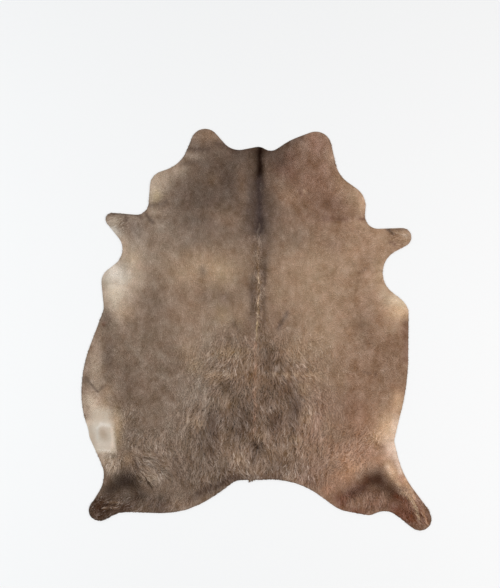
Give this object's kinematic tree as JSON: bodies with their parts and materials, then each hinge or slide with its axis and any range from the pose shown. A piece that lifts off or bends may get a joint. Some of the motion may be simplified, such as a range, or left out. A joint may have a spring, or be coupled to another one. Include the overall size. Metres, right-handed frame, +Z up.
{
  "type": "hair-on cowhide rug",
  "caption": "Whole hair-on cowhide laid flat as a floor rug: one tanned skin with neck, belly and shank lobes and a short grey-brown coat.",
  "frame": {"origin": "on the floor, in the middle of the hide's box", "axes": "+Y along the spine towards the neck, +X to the right with the neck away from the viewer, +Z up out of the hair side"},
  "size_m": [1.7478, 2.008, 0.0103],
  "materials": {
    "hair_on_hide": "short combed hair, soft sheen"
  },
  "bodies": {
    "root": {"hide": "hair_on_hide"}
  },
  "joints": []
}
